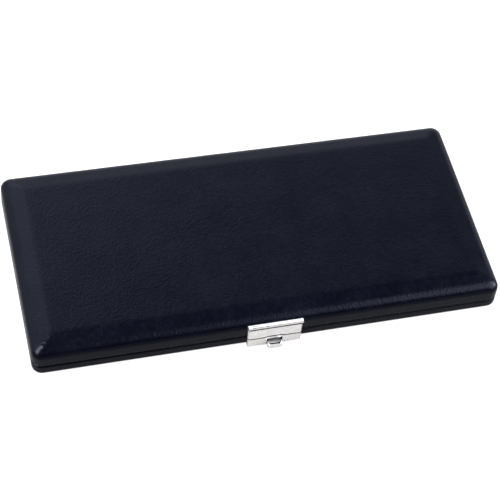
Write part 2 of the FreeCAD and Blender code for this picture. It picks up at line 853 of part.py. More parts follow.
def hinge_screws(half, head_up, direction):
    """Countersunk screws from the head's outer face; direction is 1 where they point up."""
    screws = []
    slot_far = f"{head_up} - ({direction})"
    slot_near = f"{head_up} + ({direction}) * hinge_screw_slot_depth"
    shank_length = "hinge_screw_length - hinge_screw_head_depth - hinge_screw_tip"
    for name, across in screw_places():
        tag = f"{half}_screw_{name}"
        parts = []
        for part, near_end, length, near_radius, far_radius in (
            ("head", "0", "hinge_screw_head_depth", "hinge_screw_head", "hinge_screw_radius"),
            (
                "tip",
                "hinge_screw_length - hinge_screw_tip",
                "hinge_screw_tip",
                "hinge_screw_radius",
                "hinge_screw_point",
            ),
        ):
            if direction > 0:
                low = f"{head_up} + {near_end}"
                radii = (near_radius, far_radius)
            else:
                low = f"{head_up} - ({near_end}) - {length}"
                radii = (far_radius, near_radius)
            parts.append(cone(f"{tag}_{part}", *radii, (across, SCREW_Y, low), length))
        if direction > 0:
            low = f"{head_up} + hinge_screw_head_depth"
        else:
            low = f"{head_up} - hinge_screw_head_depth - ({shank_length})"
        parts.append(rod(tag + "_shank", "hinge_screw_radius", (across, SCREW_Y, low), shank_length))
        slot = block(
            tag + "_slot",
            (f"{across} - hinge_screw_slot / 2", f"{across} + hinge_screw_slot / 2"),
            (f"{SCREW_Y} - 2", f"{SCREW_Y} + 2"),
            (slot_near, slot_far) if direction < 0 else (slot_far, slot_near),
        )
        screws.append(cut(tag, fuse(tag + "_solid", parts), [slot]))
    keep(f"{half}_hinge_screws", group(f"{half}_hinge_screws", screws))


def hinges():
    base_plate_up = ("base_top - leather", "base_top - leather + leaf_thickness")
    lid_plate_up = ("lid_bottom + glue", "lid_bottom + glue + leaf_thickness")
    lid_stop = "lid_opening / 2 + stop_play / 2"
    base_stop = f"-({lid_stop}) - stop_width"
    for side, sign in (("left", -1), ("right", 1)):
        hinge_leaf(side, sign, "base_leaf", (0, 2, 4), base_plate_up, base_stop)
        hinge_leaf(side, sign, "lid_leaf", (1, 3), lid_plate_up, lid_stop)
        hinge_pin(side, sign)
    hinge_screws("base", "base_top - leather + leaf_thickness - 0.05", -1)
    hinge_screws("lid", "lid_bottom + glue + 0.05", 1)


# ---------------------------------------------------------------- clasp

CLASP_INSIDE_X = ("-clasp_half + 2 * clasp_wall", "clasp_half - 2 * clasp_wall")


def clasp_edge(sign, up):
    """X of the clasp's side at that height: the plates narrow slightly towards the bottom."""
    return f"{sign} * (clasp_half - clasp_taper * (bead_up - ({up})))"


def plate_block(name, across, outward, up):
    """A block given by how far its back and front stand out from the case's front face."""
    back, front = outward
    return block(name, across, (out(front), out(back)), up)


def flat_in_front(box, outward):
    """Whether an edge's bounding box lies in the plate's front face."""
    return near(box.YMin, out(outward)) and near(box.YMax, out(outward))


def facing_sketch(body, name, outward):
    """A sketch seen from the front: local x is X, local y is Z, standing out by that distance."""
    return sketch_on(body, name, "XZ_Plane", f"case_depth / 2 + ({outward})")


def lid_clasp_plate():
    """A pressed plate, open below for the catch tongue, with a rolled bead along its top."""
    body = new_body("lid_plate_pressing")
    face = facing_sketch(body, "lid_plate_face", "glue")
    low = "lid_plate_bottom"
    raised = "lid_plate_bottom + hump_height"
    polygon(
        face,
        [
            (clasp_edge(-1, low), low),
            ("-hump_half - hump_ramp", low),
            ("-hump_half", raised),
            ("hump_half", raised),
            ("hump_half + hump_ramp", low),
            (clasp_edge(1, low), low),
            (clasp_edge(1, "lid_plate_top"), "lid_plate_top"),
            (clasp_edge(-1, "lid_plate_top"), "lid_plate_top"),
        ],
    )
    plate = pad(body, "lid_plate", face, "lid_plate_front - glue")
    bevelled = dress(
        body,
        "Chamfer",
        "lid_plate_side_bevels",
        plate,
        lambda box: flat_in_front(box, "lid_plate_front") and box.XLength < 1 and box.ZLength > 5,
        "Size",
        "clasp_bevel",
    )
    body.Tip = bevelled
    hollow = plate_block(
        "lid_plate_hollow",
        CLASP_INSIDE_X,
        ("clasp_back", "lid_plate_front - clasp_wall"),
        ("lid_plate_bottom - 1", "crease_height - clasp_wall"),
    )
    whole = ("-clasp_half - 1", "clasp_half + 1")
    crease = plate_block(
        "lid_plate_crease",
        whole,
        ("lid_plate_front - crease_depth", "lid_plate_front + 2"),
        ("crease_height", "crease_height + crease_width"),
    )
    shoulder = plate_block(
        "lid_plate_shoulder",
        whole,
        ("bead_out", "lid_plate_front + 2"),
        ("crease_height", "lid_plate_top + 1"),
    )
    bead_start = ("-clasp_half", out("bead_out"), "bead_up")
    bead = rod("lid_plate_bead", "bead_radius", bead_start, "2 * clasp_half", ALONG_X)
    bead_hole = rod("lid_plate_bead_bore", "bead_bore", bead_start, "2 * clasp_half", ALONG_X)
    holes = rivet_holes("lid_plate", "lid_rivet_up")
    shell = cut("lid_plate_shell", body, [hollow, shoulder])
    beaded = fuse("lid_plate_beaded", [shell, bead])
    keep("lid_clasp_plate", cut("lid_clasp_plate", beaded, [bead_hole, crease, *holes]))


def lid_clasp_keeper():
    """The catch: a tongue that hangs behind the base plate, with a window for the hook."""
    body = new_body("lid_clasp_keeper")
    front = "lid_plate_front - clasp_wall - glue"
    face = facing_sketch(body, "keeper_face", f"{front} - tongue_thickness")
    root_low = "lid_plate_bottom + 1"
    polygon(
        face,
        [
            ("-tongue_half", "tongue_bottom"),
            ("tongue_half", "tongue_bottom"),
            ("tongue_half", root_low),
            ("tongue_half + tongue_wing", root_low),
            ("tongue_half + tongue_wing", "crease_height - clasp_wall - 1"),
            ("-tongue_half - tongue_wing", "crease_height - clasp_wall - 1"),
            ("-tongue_half - tongue_wing", root_low),
            ("-tongue_half", root_low),
        ],
    )
    pad(body, "keeper_plate", face, "tongue_thickness")
    window = facing_sketch(body, "keeper_window", f"{front} - tongue_thickness")
    side = "hook_half + keeper_window_gap"
    sill = "tongue_bottom + keeper_window_sill"
    head = f"{sill} + keeper_window_height"
    polygon(window, [(f"-({side})", sill), (side, sill), (side, head), (f"-({side})", head)])
    pocket(body, "keeper_window_cut", window, "tongue_thickness")
    keep("lid_clasp_keeper", body)


def base_clasp_plate():
    """The lower pressing: open above for the tongue, with a window for the lever and two ears."""
    body = new_body("base_plate_pressing")
    face = facing_sketch(body, "base_plate_face", "glue")
    high = "base_plate_top"
    raised = "base_plate_top + hump_height"
    polygon(
        face,
        [
            (clasp_edge(-1, "base_plate_bottom"), "base_plate_bottom"),
            (clasp_edge(1, "base_plate_bottom"), "base_plate_bottom"),
            (clasp_edge(1, high), high),
            ("hump_half + hump_ramp - hump_gap", high),
            ("hump_half - hump_gap", raised),
            ("-hump_half + hump_gap", raised),
            ("-hump_half - hump_ramp + hump_gap", high),
            (clasp_edge(-1, high), high),
        ],
    )
    plate = pad(body, "base_plate", face, "base_plate_front - glue")
    bevelled = dress(
        body,
        "Chamfer",
        "base_plate_bevels",
        plate,
        lambda box: flat_in_front(box, "base_plate_front")
        and (box.ZLength > 5 or near(box.ZMax, "base_plate_bottom")),
        "Size",
        "clasp_bevel",
    )
    body.Tip = bevelled
    hollow = plate_block(
        "base_plate_hollow",
        CLASP_INSIDE_X,
        ("clasp_back", "base_plate_front - clasp_wall"),
        ("base_plate_bottom + clasp_wall", f"{raised} + 1"),
    )
    window = plate_block(
        "base_plate_window",
        ("-window_half", "window_half"),
        ("base_plate_front - clasp_wall - 0.5", "base_plate_front + 1"),
        ("window_bottom", "window_top"),
    )
    room = plate_block(
        "base_plate_back_room",
        ("-mortise_half", "mortise_half"),
        ("-1", "clasp_back + 0.2"),
        ("mortise_bottom", f"{raised} + 1"),
    )
    near_side = "lever_half + ear_gap"
    far_side = f"{near_side} + ear_width"
    outward = ("-lever_pin_radius", "base_plate_front - clasp_wall + 0.2")
    up = ("ear_bottom", "ear_top")
    ears = [
        plate_block("base_plate_left_ear", (f"-({far_side})", f"-({near_side})"), outward, up),
        plate_block("base_plate_right_ear", (near_side, far_side), outward, up),
    ]
    bore = rod(
        "base_plate_pin_bore",
        "lever_pin_radius + 0.02",
        ("-mortise_half", out("lever_axis_out"), "lever_axis_up"),
        "2 * mortise_half",
        ALONG_X,
    )
    holes = rivet_holes("base_plate", "base_rivet_up")
    shell = cut("base_plate_shell", body, [hollow, window, room])
    eared = fuse("base_plate_eared", [shell, *ears])
    keep("base_clasp_plate", cut("base_clasp_plate", eared, [bore, *holes]))


def clasp_lever():
    """The release lever: a barrel on the pin, a hook above it and a grooved finger tab in front."""
    tab = new_body("lever_tab")
    side = sketch_on(tab, "lever_tab_side", "YZ_Plane", "-lever_arm_half")
    arm_low = "lever_arm_top - lever_arm_thickness"
    tab_back = "lever_reach - lever_tab_thickness"
    polygon(
        side,
        [
            (out("hook_neck"), arm_low),
            (out(f"{tab_back} - lever_arm_thickness"), arm_low),
            (out(tab_back), f"{arm_low} - lever_arm_thickness"),
            (out(tab_back), "lever_tab_bottom"),
            (out("lever_reach"), "lever_tab_bottom"),
            (out("lever_reach"), "lever_arm_top"),
            (out("hook_neck"), "lever_arm_top"),
        ],
    )
    blank = pad(tab, "lever_tab_pad", side, "2 * lever_arm_half")
    corners = dress(
        tab,
        "Fillet",
        "lever_tip_corners",
        blank,
        lambda box: flat_in_front(box, "lever_reach") and box.XLength < 1e-4,
        "Radius",
        "lever_tip_radius",
    )
    rims = dress(
        tab,
        "Fillet",
        "lever_rims",
        corners,
        lambda box: flat_in_front(box, "lever_reach") and box.ZLength < 1e-4,
        "Radius",
        "lever_edge_radius",
    )
    tab.Tip = rims
    hook = new_body("lever_hook")
    profile = sketch_on(hook, "lever_hook_side", "YZ_Plane", "-hook_half")
    nose_low = "tongue_bottom + keeper_window_sill + 0.1"
    polygon(
        profile,
        [
            (out("hook_neck"), "lever_axis_up"),
            (out("hook_neck"), nose_low),
            (out("hook_nose"), nose_low),
            (out("hook_nose"), f"{nose_low} + hook_nose_rise"),
            (out("hook_neck"), "hook_top"),
            (out("hook_back"), "hook_top"),
            (out("hook_back"), "lever_axis_up"),
        ],
    )
    pad(hook, "lever_hook_pad", profile, "2 * hook_half")
    start = ("-lever_half", out("lever_axis_out"), "lever_axis_up")
    barrel = rod("lever_barrel", "lever_barrel_radius", start, "2 * lever_half", ALONG_X)
    bore = rod("lever_bore", "lever_pin_radius + running_gap", start, "2 * lever_half", ALONG_X)
    groove_front = "lever_reach - lever_slot_lip"
    groove = plate_block(
        "lever_groove",
        ("-lever_slot_half", "lever_slot_half"),
        (f"{groove_front} - lever_slot_width", groove_front),
        ("lever_slot_floor", "lever_arm_top + 1"),
    )
    keep("clasp_lever", cut("clasp_lever", fuse("lever_solid", [tab, hook, barrel]), [bore, groove]))


def clasp_lever_pin():
    reach = "lever_half + ear_gap + ear_width + 0.2"
    start = (f"-({reach})", out("lever_axis_out"), "lever_axis_up")
    length = f"2 * ({reach})"
    keep("clasp_lever_pin", rod("clasp_lever_pin", "lever_pin_radius", start, length, ALONG_X))


def clasp_spring():
    """A bent strip of spring steel that presses the hook outwards."""
    body = new_body("clasp_spring")
    half = "(hook_half - spring_side_gap)"
    side = sketch_on(body, "spring_side", "YZ_Plane", f"-{half}")
    polygon(
        side,
        [
            (out("-spring_back"), "spring_foot"),
            (out("-spring_front"), "spring_foot"),
            (out("-spring_front"), "spring_bend"),
            (out("-spring_touch_out"), "spring_touch_up"),
            (out("-spring_tip_out"), "spring_tip_up"),
            (out("-spring_back"), "spring_inner_bend"),
        ],
    )
    pad(body, "spring_strip", side, f"2 * {half}")
    keep("clasp_spring", body)


def clasp_rivets(half, up):
    """Rivets from the clasp's back wall through leather and rail, headed on the inside."""
    rivets = []
    inside = f"{OPENING} + glue"
    thick = "clasp_rivet_head_thickness"
    front = f"clasp_back + glue + {thick}"
    for side, sign in (("left", -1), ("right", 1)):
        tag = f"{half}_clasp_{side}_rivet"
        across = f"{sign} * clasp_rivet_offset"
        start = (across, out(front), up)
        length = f"{front} + {inside} + {thick}"
        head_start = (across, out(f"-({inside})"), up)
        pieces = [
            rod(tag + "_end", "clasp_rivet_end", start, thick, ALONG_Y),
            rod(tag + "_shank", "clasp_rivet_radius", start, length, ALONG_Y),
            rod(tag + "_head", "clasp_rivet_head", head_start, thick, ALONG_Y),
        ]
        rivets.append(fuse(tag, pieces))
    keep(f"{half}_clasp_rivets", group(f"{half}_clasp_rivets", rivets))


# ---------------------------------------------------------------- the whole case

base_leather_band()
lid_leather()
base_panel()
lid_panel()
wooden_rails()
soft_layers()
chip_tray()
hinges()
lid_clasp_plate()
lid_clasp_keeper()
base_clasp_plate()
clasp_lever()
clasp_lever_pin()
clasp_spring()
clasp_rivets("lid", "lid_rivet_up")
clasp_rivets("base", "base_rivet_up")
doc.removeObject(ruler.Name)
doc.recompute()

for thing in doc.Objects:
    if {"Invalid", "Error"} & set(thing.State):
        raise RuntimeError(f"{thing.Name} failed: {thing.State}")
for label, thing in nodes.items():
    if thing.Shape.isNull() or not thing.Shape.isValid() or not thing.Shape.Solids:
        raise RuntimeError(f"{label} has no valid solid")

os.makedirs("parts", exist_ok=True)
for label, thing in nodes.items():
    thing.Shape.exportStep(f"parts/{label}.step")
print(len(nodes), "sub-parts written")
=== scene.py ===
"""Looks of the poker chip case: leather, padding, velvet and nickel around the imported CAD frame."""

import math

import bmesh
import bpy
from mathutils import Matrix, Vector, noise


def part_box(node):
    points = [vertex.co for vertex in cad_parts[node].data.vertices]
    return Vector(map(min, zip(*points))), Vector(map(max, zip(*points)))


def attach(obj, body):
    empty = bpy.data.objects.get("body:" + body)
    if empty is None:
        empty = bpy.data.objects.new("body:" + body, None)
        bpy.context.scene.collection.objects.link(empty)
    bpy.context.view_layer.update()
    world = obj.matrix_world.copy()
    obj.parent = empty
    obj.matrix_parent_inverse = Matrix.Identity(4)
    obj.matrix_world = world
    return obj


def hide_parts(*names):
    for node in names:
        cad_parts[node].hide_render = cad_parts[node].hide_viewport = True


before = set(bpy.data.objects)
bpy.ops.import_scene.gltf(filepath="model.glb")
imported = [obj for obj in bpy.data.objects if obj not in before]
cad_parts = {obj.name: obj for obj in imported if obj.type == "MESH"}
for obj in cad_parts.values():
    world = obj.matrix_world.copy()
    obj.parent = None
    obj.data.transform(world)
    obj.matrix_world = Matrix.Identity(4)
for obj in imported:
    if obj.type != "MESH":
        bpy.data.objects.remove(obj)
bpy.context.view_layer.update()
MM = 0.001

# ---------------------------------------------------------------- sizes

lid_low, lid_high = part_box("lid_leather")
lining_low, lining_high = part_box("lid_lining")
padding_low, padding_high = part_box("lid_padding")
cushion_low, cushion_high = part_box("lid_cushion")
base_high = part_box("base_leather_band")[1]
panel_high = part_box("base_panel")[1]
cover_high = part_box("base_bottom_cover")[1]

HALF_LENGTH = lid_high.x
HALF_DEPTH = lid_high.y
LEATHER = 0.9 * MM
RAIL_WIDTH = 3.2 * MM
GLUE = 0.05 * MM

# insets, from the case's outline inwards; the last one is just short of the centre line
INNER = LEATHER + 2 * GLUE + RAIL_WIDTH
OPENING = INNER + LEATHER
BEVEL_RUN = 11 * MM
MIDDLE = HALF_DEPTH - 2 * MM

# the rim is where the lid's wall turns into its bevel
RIM_HEIGHT = 19.9 * MM
WALL_CORNER = 7 * MM
CROWN_CORNER = 2.5 * MM
BOTTOM_ROUNDING = 3.2 * MM

# ---------------------------------------------------------------- outlines and lofted skins

SIDE_STEP = 2.5 * MM
CORNER_STEPS = 8


def wall_corner(inset, height):
    """Corner radius of upright walls and flat edges: it shrinks as the outline moves in."""
    return max(WALL_CORNER - inset, 0.8 * MM)


def bevel_corner(inset, height):
    """Corner radius over the lid: walls up to the rim, then narrowing to the crown."""
    if height < RIM_HEIGHT - 1.5 * MM:
        return wall_corner(inset, height)
    share = min(max(inset / BEVEL_RUN, 0), 1)
    return CROWN_CORNER + (WALL_CORNER - CROWN_CORNER) * (1 - share) ** 1.6


def outline(inset, height, corner):
    """The case's outline moved in by the inset, as points that match from ring to ring."""
    radius = corner(inset, height)
    reach_x = HALF_LENGTH - inset - radius
    reach_y = max(HALF_DEPTH - inset - radius, 0.0)
    signs = [(1, 1), (-1, 1), (-1, -1), (1, -1)]
    counts = [round(2 * HALF_LENGTH / SIDE_STEP), round(2 * HALF_DEPTH / SIDE_STEP)] * 2
    points = []
    for quarter, (sign_x, sign_y) in enumerate(signs):
        centre = Vector((sign_x * reach_x, sign_y * reach_y, height))
        for step in range(CORNER_STEPS + 1):
            angle = (quarter + step / CORNER_STEPS) * math.pi / 2
            points.append(centre + radius * Vector((math.cos(angle), math.sin(angle), 0)))
        next_x, next_y = signs[(quarter + 1) % 4]
        turn = (quarter + 1) * math.pi / 2
        edge = radius * Vector((math.cos(turn), math.sin(turn), 0))
        following = Vector((next_x * reach_x, next_y * reach_y, height)) + edge
        start = points[-1]
        for step in range(1, counts[quarter]):
            points.append(start.lerp(following, step / counts[quarter]))
    return points


def rounded_path(corners, spacing):
    """A path of (inset, height) points through corners given as (inset, height, fillet radius)."""
    path = []
    places = [Vector((inset, height)) for inset, height, radius in corners]
    for index, (place, (inset, height, radius)) in enumerate(zip(places, corners)):
        if radius == 0 or index in (0, len(places) - 1):
            path.append(place)
            continue
        back = (places[index - 1] - place).normalized()
        ahead = (places[index + 1] - place).normalized()
        half = math.acos(max(-1.0, min(1.0, back.dot(ahead)))) / 2
        trim = radius / math.tan(half)
        centre = place + (back + ahead).normalized() * (radius / math.sin(half))
        first = place + back * trim - centre
        last = place + ahead * trim - centre
        sweep = first.angle_signed(last)
        steps = max(3, round(abs(sweep) * radius / spacing))
        for step in range(steps + 1):
            turned = first.copy()
            turned.rotate(Matrix.Rotation(-sweep * step / steps, 2))
            path.append(centre + turned)
    filled = [path[0]]
    for point in path[1:]:
        gap = (point - filled[-1]).length
        pieces = max(1, round(gap / spacing))
        start = filled[-1]
        filled += [start.lerp(point, part / pieces) for part in range(1, pieces + 1)]
    return filled


def lofted_skin(name, path, corner, closed=False):
    """A skin through the outline rings along a path; open ends are capped."""
    mesh = bmesh.new()
    rings = [[mesh.verts.new(p) for p in outline(inset, height, corner)] for inset, height in path]
    pairs = list(zip(rings, rings[1:]))
    if closed:
        pairs.append((rings[-1], rings[0]))
    for lower, upper in pairs:
        for index in range(len(lower)):
            after = (index + 1) % len(lower)
            mesh.faces.new((lower[index], lower[after], upper[after], upper[index]))
    if not closed:
        mesh.faces.new(list(reversed(rings[0])))
        mesh.faces.new(rings[-1])
    return finished(name, mesh)


def finished(name, mesh):
    """The bmesh as a smooth-shaded object with outward faces."""
    bmesh.ops.remove_doubles(mesh, verts=mesh.verts, dist=1e-6)
    bmesh.ops.recalc_face_normals(mesh, faces=mesh.faces)
    for face in mesh.faces:
        face.smooth = True
    data = bpy.data.meshes.new(name)
    mesh.to_mesh(data)
    mesh.free()
    made = bpy.data.objects.new(name, data)
    bpy.context.scene.collection.objects.link(made)
    return made


def apply_modifiers(piece):
    """Makes the piece's evaluated mesh its own mesh."""
    graph = bpy.context.evaluated_depsgraph_get()
    data = bpy.data.meshes.new_from_object(piece.evaluated_get(graph))
    piece.modifiers.clear()
    piece.data = data


def cut_away(piece, cutters):
    """Removes block-shaped rooms, given as (low corner, high corner), from the piece."""
    for low, high in cutters:
        mesh = bmesh.new()
        bmesh.ops.create_cube(mesh, size=1)
        size = high - low
        middle = (high + low) / 2
        for vertex in mesh.verts:
            vertex.co = Vector(c * s for c, s in zip(vertex.co, size)) + middle
        block = finished("cutter", mesh)
        boolean = piece.modifiers.new("cut", "BOOLEAN")
        boolean.operation = "DIFFERENCE"
        boolean.solver = "EXACT"
        boolean.object = block
        bpy.context.view_layer.update()
        apply_modifiers(piece)
        bpy.data.objects.remove(block)


def ripple(piece, height, width, seed, chosen=None):
    """Small uneven swellings of hand-stretched leather or cloth, along the surface's normals."""
    shift = Vector((seed * 3.1, seed * 1.7, seed * 0.9))
    normals = [vertex.normal.copy() for vertex in piece.data.vertices]
    for vertex, normal in zip(piece.data.vertices, normals):
        if chosen and not chosen(vertex.co):
            continue
        vertex.co += normal * height * noise.noise(vertex.co / width + shift)


# ---------------------------------------------------------------- materials


class Patterns:
    """A node tree with short calls for the patterns that the finishes and the room share."""

    def __init__(self, tree, place):
        self.nodes = tree.nodes
        self.links = tree.links
        self.place = self.nodes.new("ShaderNodeTexCoord").outputs[place]

    def put(self, socket, given):
        """Links a socket or sets a plain value; None leaves the input as it is."""
        if isinstance(given, bpy.types.NodeSocket):
            self.links.new(given, socket)
        elif given is not None:
            socket.default_value = given

    def stretched(self, scale):
        """The place, scaled along each axis, for grain and brush lines."""
        node = self.nodes.new("ShaderNodeMapping")
        self.links.new(self.place, node.inputs["Vector"])
        node.inputs["Scale"].default_value = scale
        return node.outputs["Vector"]

    def noise(self, width, detail=3.0, roughness=0.5, vector=None, distortion=0.0):
        """Noise whose features are about that wide, in metres."""
        node = self.nodes.new("ShaderNodeTexNoise")
        self.put(node.inputs["Vector"], vector or self.place)
        node.inputs["Scale"].default_value = 1 / width
        node.inputs["Detail"].default_value = detail
        node.inputs["Roughness"].default_value = roughness
        node.inputs["Distortion"].default_value = distortion
        return node.outputs["Fac"]

    def cells(self, width):
        """Rounded pebbles about that wide, in metres."""
        node = self.nodes.new("ShaderNodeTexVoronoi")
        node.feature = "SMOOTH_F1"
        self.put(node.inputs["Vector"], self.place)
        node.inputs["Scale"].default_value = 1 / width
        return node.outputs["Distance"]

    def math(self, operation, first, second, clamp=False):
        """One sum or product of two sockets or plain values."""
        node = self.nodes.new("ShaderNodeMath")
        node.operation = operation
        node.use_clamp = clamp
        self.put(node.inputs[0], first)
        self.put(node.inputs[1], second)
        return node.outputs["Value"]

    def span(self, given, low, high, new_low=0.0, new_high=1.0, soft=False):
        """Maps low to high onto new low to new high, and holds the ends."""
        node = self.nodes.new("ShaderNodeMapRange")
        node.interpolation_type = "SMOOTHSTEP" if soft else "LINEAR"
        self.put(node.inputs["Value"], given)
        node.inputs["From Min"].default_value = low
        node.inputs["From Max"].default_value = high
        node.inputs["To Min"].default_value = new_low
        node.inputs["To Max"].default_value = new_high
        return node.outputs["Result"]

    def blend(self, share, first, second):
        """The first colour at share 0 and the second at 1."""
        node = self.nodes.new("ShaderNodeMix")
        node.data_type = "RGBA"
        self.put(node.inputs[0], share)
        self.put(node.inputs[6], first)
        self.put(node.inputs[7], second)
        return node.outputs[2]

    def bump(self, height, depth, strength, below=None):
        """A bumped normal, laid over the one below it."""
        node = self.nodes.new("ShaderNodeBump")
        node.inputs["Strength"].default_value = strength
        node.inputs["Distance"].default_value = depth
        self.put(node.inputs["Height"], height)
        self.put(node.inputs["Normal"], below)
        return node.outputs["Normal"]

    def edges(self, radius):
        """1 on sharp edges and 0 on flat ground, from how far a rounded normal leans."""
        bevel = self.nodes.new("ShaderNodeBevel")
        bevel.inputs["Radius"].default_value = radius
        flat = self.nodes.new("ShaderNodeNewGeometry").outputs["Normal"]
        lean = self.nodes.new("ShaderNodeVectorMath")
        lean.operation = "DOT_PRODUCT"
        self.links.new(bevel.outputs["Normal"], lean.inputs[0])
        self.links.new(flat, lean.inputs[1])
        return self.span(lean.outputs["Value"], 1.0, 0.75)

    def hollows(self, reach):
        """1 deep inside grooves and gaps and 0 in the open, within the reach."""
        sheltered = self.nodes.new("ShaderNodeAmbientOcclusion")
        sheltered.inputs["Distance"].default_value = reach
        sheltered.samples = 16
        return self.span(sheltered.outputs["AO"], 0.80, 0.48)


class Finish(Patterns):
    """A node material built round one surface shader."""

    def __init__(self, name):
        self.material = bpy.data.materials.new(name)
        self.material.use_nodes = True
        super().__init__(self.material.node_tree, "Object")
        self.surface = self.nodes["Principled BSDF"]

    def set(self, **inputs):
        """Sets inputs of the surface; a name's underscores stand for spaces."""
        for name, given in inputs.items():
            self.put(self.surface.inputs[name.replace("_", " ")], given)


def colour(red, green, blue):
    return (red, green, blue, 1.0)


LEATHER_SHINE = 0.085
LEATHER_SHINE_TINT = colour(0.82, 0.87, 1.0)
# lighter leather for rubbed edges, partly wear and partly a painted highlight along them
WORN_AND_HIGHLIT_LEATHER = colour(0.005, 0.0055, 0.008)
# near-black painted shade for the metals' grooves, gaps and slots
PAINTED_SHADE = colour(0.025, 0.024, 0.023)
RUBBED_METAL = colour(0.95, 0.95, 0.94)


def leather_finish(name, dark, light, roughness, grain):
    """Fine-grained leather: pebbles, pores, uneven dye and polish, and rubbed edges lightened, partly as
    wear and partly as painted highlight.
    """
    finish = Finish(name)
    dye = finish.noise(26 * MM, 4.0, 0.6)
    mottle = finish.noise(3.2 * MM, 4.0, 0.6)
    pebbles = finish.cells(1.3 * MM)
    pores = finish.noise(0.35 * MM, 2.0, 0.5)
    broad = finish.span(dye, 0.35, 0.65, 0, 0.6)
    narrow = finish.span(mottle, 0.3, 0.7, 0, 0.4)
    body = finish.blend(finish.math("ADD", broad, narrow), dark, light)
    curved = finish.nodes.new("ShaderNodeNewGeometry").outputs["Pointiness"]
    # rubbed wear and painted highlight: rounded edges, rims and corners are lightened, partly as wear and
    # partly standing in for the highlights along them
    rubbed = finish.math("ADD", finish.edges(0.8 * MM), finish.span(curved, 0.53, 0.60), clamp=True)
    wear_and_highlight = finish.math("MULTIPLY", rubbed, finish.span(mottle, 0.35, 0.7, 0.0, 0.5))
    finish.set(Base_Color=finish.blend(wear_and_highlight, body, WORN_AND_HIGHLIT_LEATHER))
    fine_polish = finish.span(mottle, 0.3, 0.7, roughness - 0.03, roughness + 0.04)
    broad_polish = finish.span(dye, 0.3, 0.7, -0.03, 0.03)
    finish.set(Roughness=finish.math("ADD", fine_polish, broad_polish))
    fine = finish.bump(pores, 0.02 * MM, 0.5 * grain)
    swells = finish.bump(mottle, 0.05 * MM, 0.5 * grain, fine)
    finish.set(Normal=finish.bump(pebbles, 0.13 * MM, 0.8 * grain, swells))
    finish.set(Specular_IOR_Level=LEATHER_SHINE, IOR=1.48, Specular_Tint=LEATHER_SHINE_TINT)
    return finish.material


def velvet_finish(name, deep, bright):
    """Short-pile velvet: brushed patches, sheen and a fine nap."""
    finish = Finish(name)
    brushed = finish.noise(14 * MM, 3.0, 0.6, distortion=0.6)
    nap = finish.noise(0.5 * MM, 2.0, 0.7)
    broad = finish.span(brushed, 0.35, 0.65, 0.0, 0.6)
    narrow = finish.span(nap, 0.3, 0.7, 0.0, 0.4)
    finish.set(Base_Color=finish.blend(finish.math("ADD", broad, narrow), deep, bright))
    finish.set(Roughness=finish.span(brushed, 0.3, 0.7, 0.8, 0.95), Specular_IOR_Level=0.15)
    finish.set(Sheen_Weight=0.22, Sheen_Roughness=0.35, Sheen_Tint=bright)
    pile = finish.bump(nap, 0.2 * MM, 0.7)
    finish.set(Normal=finish.bump(brushed, 0.5 * MM, 0.3, pile))
    return finish.material


def metal_finish(name, tone, roughness, brush=(1, 18, 18), wear=0.5, shade_reach=0.8 * MM):
    """Plated metal: brush lines, smudges, fine scratches, edges worn bright, and painted shade darkening
    its gaps and grooves.
    """
    finish = Finish(name)
    lines = finish.noise(2.2 * MM, 3.0, 0.7, finish.stretched(brush))
    smudge = finish.noise(6 * MM, 4.0, 0.6)
    rubbed = finish.edges(0.4 * MM)
    dull = colour(*(0.90 * part for part in tone))
    body = finish.blend(finish.span(smudge, 0.35, 0.7), colour(*tone), dull)
    plating = finish.blend(finish.math("MULTIPLY", rubbed, wear), body, RUBBED_METAL)
    # painted shade: near-black colour laid into grooves, gaps and slots where shadow falls, within the
    # reach
    finish.set(Base_Color=finish.blend(finish.hollows(shade_reach), plating, PAINTED_SHADE), Metallic=1.0)
    brushed = finish.span(lines, 0.3, 0.7, roughness - 0.05, roughness + 0.08)
    smudged = finish.math("ADD", brushed, finish.span(smudge, 0.3, 0.7, -0.04, 0.06))
    polish = finish.math("MULTIPLY", rubbed, 0.06)
    finish.set(Roughness=finish.math("SUBTRACT", smudged, polish, clamp=True))
    scratches = finish.bump(lines, 0.004 * MM, 0.4)
    finish.set(Normal=finish.bump(smudge, 0.01 * MM, 0.15, scratches))
    return finish.material


def wood_finish():
    """Plain poplar: long grain, pores and slight colour drift."""
    finish = Finish("poplar_board")
    grain = finish.noise(5 * MM, 5.0, 0.6, finish.stretched((0.12, 1, 1)), 0.5)
    pores = finish.noise(0.6 * MM, 3.0, 0.6, finish.stretched((0.08, 1, 1)))
    broad = finish.span(grain, 0.3, 0.7, 0, 0.7)
    narrow = finish.span(pores, 0.3, 0.7, 0, 0.3)
    share = finish.math("ADD", broad, narrow)
    finish.set(Base_Color=finish.blend(share, colour(0.33, 0.22, 0.12), colour(0.52, 0.38, 0.24)))
    finish.set(Roughness=finish.span(grain, 0.3, 0.7, 0.55, 0.75))
    finish.set(Normal=finish.bump(pores, 0.05 * MM, 0.6))
    return finish.material


def felt_finish():
    """Pale wadding: matted fibres."""
    finish = Finish("padding_felt")
    fibres = finish.noise(0.8 * MM, 5.0, 0.8, distortion=2.0)
    finish.set(Base_Color=finish.blend(fibres, colour(0.55, 0.53, 0.47), colour(0.80, 0.78, 0.71)))
    finish.set(Roughness=finish.span(fibres, 0.3, 0.7, 0.85, 1.0))
    finish.set(Normal=finish.bump(fibres, 0.3 * MM, 0.8))
    return finish.material


